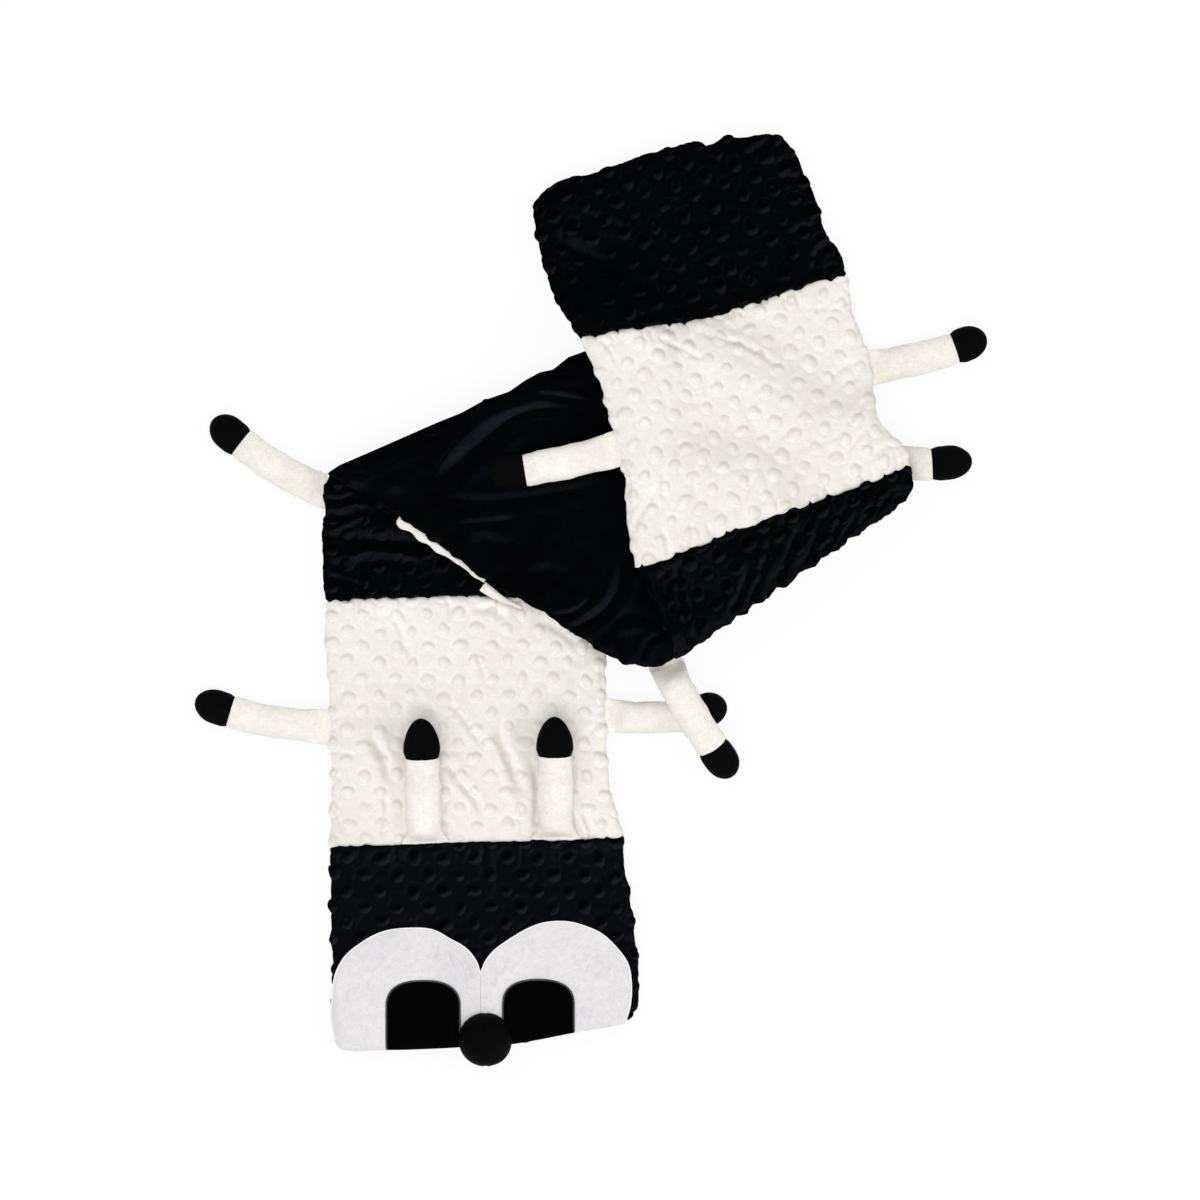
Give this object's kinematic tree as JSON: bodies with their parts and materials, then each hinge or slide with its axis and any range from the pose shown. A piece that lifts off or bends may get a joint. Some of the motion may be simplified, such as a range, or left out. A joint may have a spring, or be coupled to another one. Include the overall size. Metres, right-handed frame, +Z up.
{
  "type": "weighted plush inchworm",
  "caption": "Long flat weighted soft toy worm, banded black and white, with small legs and two feelers, lying folded in a Z.",
  "frame": {"origin": "middle of the whole folded outline, on the floor it lies on", "axes": "+Z up off the floor; the head end lies at -Y and the tail end at +Y; +X to the right seen from above with the head at the bottom"},
  "size_m": [0.7606, 0.9062, 0.0772],
  "materials": {
    "dotted_plush_white": "dimple-dot plush pile",
    "dotted_plush_black": "dimple-dot plush pile",
    "smooth_plush_black": "short smooth plush pile",
    "cream_plush": "short smooth plush pile",
    "matt_black_plush": "short matt pile",
    "eye_white_cloth": "flat velvet with a stitched edge",
    "pouch_cloth": "plain woven pouch full of pellets"
  },
  "bodies": {
    "head": {"head_front_panel": "dotted_plush_black", "head_back_panel": "smooth_plush_black", "head_pellet_pouch": "pouch_cloth", "eye_left": "eye_white_cloth", "pupil_left": "matt_black_plush", "eye_right": "eye_white_cloth", "pupil_right": "matt_black_plush", "nose": "matt_black_plush"},
    "front_run": {"white_1_front_panel": "dotted_plush_white", "white_1_back_panel": "smooth_plush_black", "white_1_pellet_pouch": "pouch_cloth", "black_2_lower_front_panel": "dotted_plush_black", "black_2_lower_back_panel": "smooth_plush_black", "black_2_lower_pellet_pouch": "pouch_cloth", "white_2_lower_front_panel": "dotted_plush_white", "white_2_lower_back_panel": "smooth_plush_black", "white_2_lower_pellet_pouch": "pouch_cloth"},
    "middle_run": {"black_2_upper_back_panel": "smooth_plush_black", "black_2_upper_front_panel": "dotted_plush_black", "black_2_upper_pellet_pouch": "pouch_cloth", "white_2_upper_back_panel": "smooth_plush_black", "white_2_upper_front_panel": "dotted_plush_white", "white_2_upper_pellet_pouch": "pouch_cloth", "black_3_upper_back_panel": "smooth_plush_black", "black_3_upper_front_panel": "dotted_plush_black", "black_3_upper_pellet_pouch": "pouch_cloth"},
    "rear_run": {"black_3_lower_front_panel": "dotted_plush_black", "black_3_lower_back_panel": "smooth_plush_black", "black_3_lower_pellet_pouch": "pouch_cloth", "white_3_front_panel": "dotted_plush_white", "white_3_back_panel": "smooth_plush_black", "white_3_pellet_pouch": "pouch_cloth", "tail_front_panel": "dotted_plush_black", "tail_back_panel": "smooth_plush_black", "tail_pellet_pouch": "pouch_cloth"},
    "leg_white_1_left": {"leg_white_1_left_sleeve": "cream_plush", "leg_white_1_left_foot": "matt_black_plush"},
    "leg_white_1_right": {"leg_white_1_right_sleeve": "cream_plush", "leg_white_1_right_foot": "matt_black_plush"},
    "leg_black_2_left": {"leg_black_2_left_sleeve": "cream_plush", "leg_black_2_left_foot": "matt_black_plush"},
    "leg_black_2_right": {"leg_black_2_right_sleeve": "cream_plush", "leg_black_2_right_foot": "matt_black_plush"},
    "leg_white_3_left": {"leg_white_3_left_sleeve": "cream_plush", "leg_white_3_left_foot": "matt_black_plush"},
    "leg_white_3_right": {"leg_white_3_right_sleeve": "cream_plush", "leg_white_3_right_foot": "matt_black_plush"},
    "leg_black_3_left": {"leg_black_3_left_sleeve": "cream_plush", "leg_black_3_left_foot": "matt_black_plush"},
    "leg_black_3_right": {"leg_black_3_right_sleeve": "cream_plush", "leg_black_3_right_foot": "matt_black_plush"},
    "feeler_left": {"feeler_left_sleeve": "cream_plush", "feeler_left_tip": "matt_black_plush"},
    "feeler_right": {"feeler_right_sleeve": "cream_plush", "feeler_right_tip": "matt_black_plush"}
  },
  "joints": [
    {"name": "fold_1", "type": "hinge", "parent": "front_run", "child": "middle_run", "pos_m": [-0.11718, 0.18793, 0.02425], "axis": [-0.9068, -0.4216, 0], "range_deg": [0, 180]},
    {"name": "fold_2", "type": "hinge", "parent": "middle_run", "child": "rear_run", "pos_m": [0.19032, 0.01818, 0.02425], "axis": [0.823, 0.5681, 0], "range_deg": [0, 180]},
    {"name": "head_lift", "type": "hinge", "parent": "front_run", "child": "head", "pos_m": [-0.11368, -0.23382, 0.0153], "axis": [-0.9994, -0.0347, 0], "range_deg": [0, 19]},
    {"name": "leg_white_1_left_swing", "type": "hinge", "parent": "front_run", "child": "leg_white_1_left", "pos_m": [-0.25919, -0.12282, 0.012], "axis": [-0.0129, 0.9999, 0], "range_deg": [-55, 60]},
    {"name": "leg_white_1_right_swing", "type": "hinge", "parent": "front_run", "child": "leg_white_1_right", "pos_m": [0.01345, -0.11184, 0.012], "axis": [0.0163, -0.9999, 0], "range_deg": [-50, 0]},
    {"name": "leg_black_2_left_swing", "type": "hinge", "parent": "front_run", "child": "leg_black_2_left", "pos_m": [-0.26125, 0.10207, 0.012], "axis": [0.0464, 0.9989, 0], "range_deg": [-55, 45]},
    {"name": "leg_black_2_right_swing", "type": "hinge", "parent": "front_run", "child": "leg_black_2_right", "pos_m": [0.01523, 0.10016, 0.012], "axis": [0.0101, -0.9999, 0], "range_deg": [-50, 0]},
    {"name": "leg_white_3_left_swing", "type": "hinge", "parent": "rear_run", "child": "leg_white_3_left", "pos_m": [0.02062, 0.14446, 0.06122], "axis": [-0.2082, 0.9781, 0], "range_deg": [0, 60]},
    {"name": "leg_white_3_right_swing", "type": "hinge", "parent": "rear_run", "child": "leg_white_3_right", "pos_m": [0.26755, 0.22404, 0.01249], "axis": [0.1805, -0.9836, 0], "range_deg": [-55, 60]},
    {"name": "leg_black_3_left_swing", "type": "hinge", "parent": "middle_run", "child": "leg_black_3_left", "pos_m": [0.06798, -0.06268, 0.01401], "axis": [-0.9588, -0.284, 0], "range_deg": [0, 35]},
    {"name": "leg_black_3_right_swing", "type": "hinge", "parent": "middle_run", "child": "leg_black_3_right", "pos_m": [0.23147, 0.1408, 0.012], "axis": [0.8524, -0.5229, 0], "range_deg": [-50, 0]},
    {"name": "feeler_left_lift", "type": "hinge", "parent": "front_run", "child": "feeler_left", "pos_m": [-0.16068, -0.23482, 0.016], "axis": [0.9996, 0.03, 0], "range_deg": [0, 16]},
    {"name": "feeler_right_lift", "type": "hinge", "parent": "front_run", "child": "feeler_right", "pos_m": [-0.03669, -0.23082, 0.016], "axis": [0.9996, 0.03, 0], "range_deg": [0, 16]}
  ]
}
